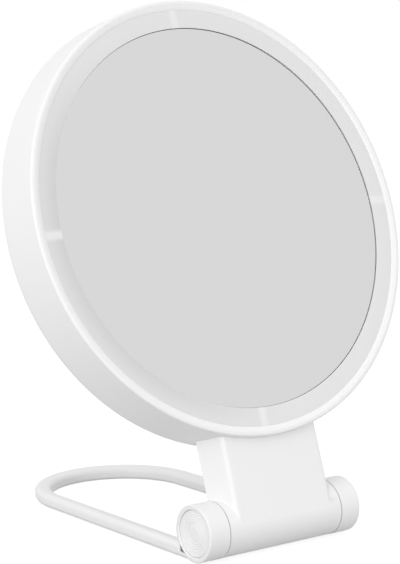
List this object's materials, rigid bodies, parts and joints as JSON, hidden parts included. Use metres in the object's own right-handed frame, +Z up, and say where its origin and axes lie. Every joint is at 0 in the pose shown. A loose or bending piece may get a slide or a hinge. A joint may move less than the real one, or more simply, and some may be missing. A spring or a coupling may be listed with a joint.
{
  "type": "lighted makeup mirror",
  "caption": "Round lighted makeup mirror on a slim neck that tilts on a flat wire-like loop stand, with a button in the hinge end cap and a battery door behind.",
  "frame": {"origin": "on the table, under the middle of the object's extents in X and Y", "axes": "+Z up, -Y towards the person at the mirror, X along the tilt hinge"},
  "size_m": [0.1792, 0.1516, 0.2117],
  "materials": {
    "white_plastic": "fine satin, white",
    "white_gloss": "smooth satin-gloss, white",
    "frosted_plastic": "frosted white, lets light through",
    "mirror_glass": "silvered, polished",
    "foam": "closed-cell foam",
    "white_frame_plastic": "satin, inside part",
    "reflector_plastic": "gloss white",
    "circuit_board": "white solder mask",
    "driver_board_green": "green solder mask",
    "lamp_package": "pale yellow phosphor",
    "screw_steel": "zinc plated",
    "axle_steel": "turned",
    "spring_steel": "bright",
    "bush_plastic": "unfilled, natural",
    "friction_fibre": "matt fibre",
    "contact_metal": "nickel plated",
    "cell_jacket": "plain printed film, no text",
    "chip_plastic": "black",
    "switch_plastic": "black",
    "wire_jacket": "soft jacket"
  },
  "bodies": {
    "stand": {"stand_loop": "white_plastic", "hinge_axles": "axle_steel", "axle_nuts": "axle_steel", "spring_washers": "spring_steel", "hinge_cover": "white_gloss", "switch_body": "switch_plastic", "switch_board": "driver_board_green", "switch_wires": "wire_jacket"},
    "power_button": {"power_button": "white_gloss", "switch_plunger": "switch_plastic"},
    "head": {"rear_housing": "white_plastic", "front_bezel": "white_gloss", "diffuser_ring": "frosted_plastic", "mirror_glass": "mirror_glass", "foam_disc": "foam", "mirror_frame": "white_frame_plastic", "reflector_ring": "reflector_plastic", "lamp_board": "circuit_board", "lamps": "lamp_package", "frame_screws": "screw_steel", "neck_shell": "white_plastic", "neck_back_cover": "white_plastic", "neck_screws": "screw_steel", "cover_screws": "screw_steel", "hinge_bushes": "bush_plastic", "friction_washers": "friction_fibre", "battery_box": "white_frame_plastic", "box_screws": "screw_steel", "battery_cells": "cell_jacket", "contact_plates": "contact_metal", "contact_springs": "contact_metal", "driver_board": "driver_board_green", "driver_parts": "chip_plastic", "driver_screws": "screw_steel", "lead_wires": "wire_jacket", "battery_leads": "wire_jacket"},
    "battery_door": {"battery_door": "white_plastic", "foam_strip": "foam"}
  },
  "joints": [
    {"name": "head_tilt", "type": "hinge", "parent": "stand", "child": "head", "pos_m": [0, -0.06478, 0.01103], "axis": [-1, 0, 0], "range_deg": [-108, 67]},
    {"name": "button_press", "type": "slide", "parent": "stand", "child": "power_button", "axis": [1, 0, 0], "range_m": [0, 0.0006], "stiffness_N_per_m": 2500},
    {"name": "battery_door_hinge", "type": "hinge", "parent": "head", "child": "battery_door", "pos_m": [0, -0.0321, 0.09012], "axis": [-1, 0, 0], "range_deg": [0, 90]}
  ]
}
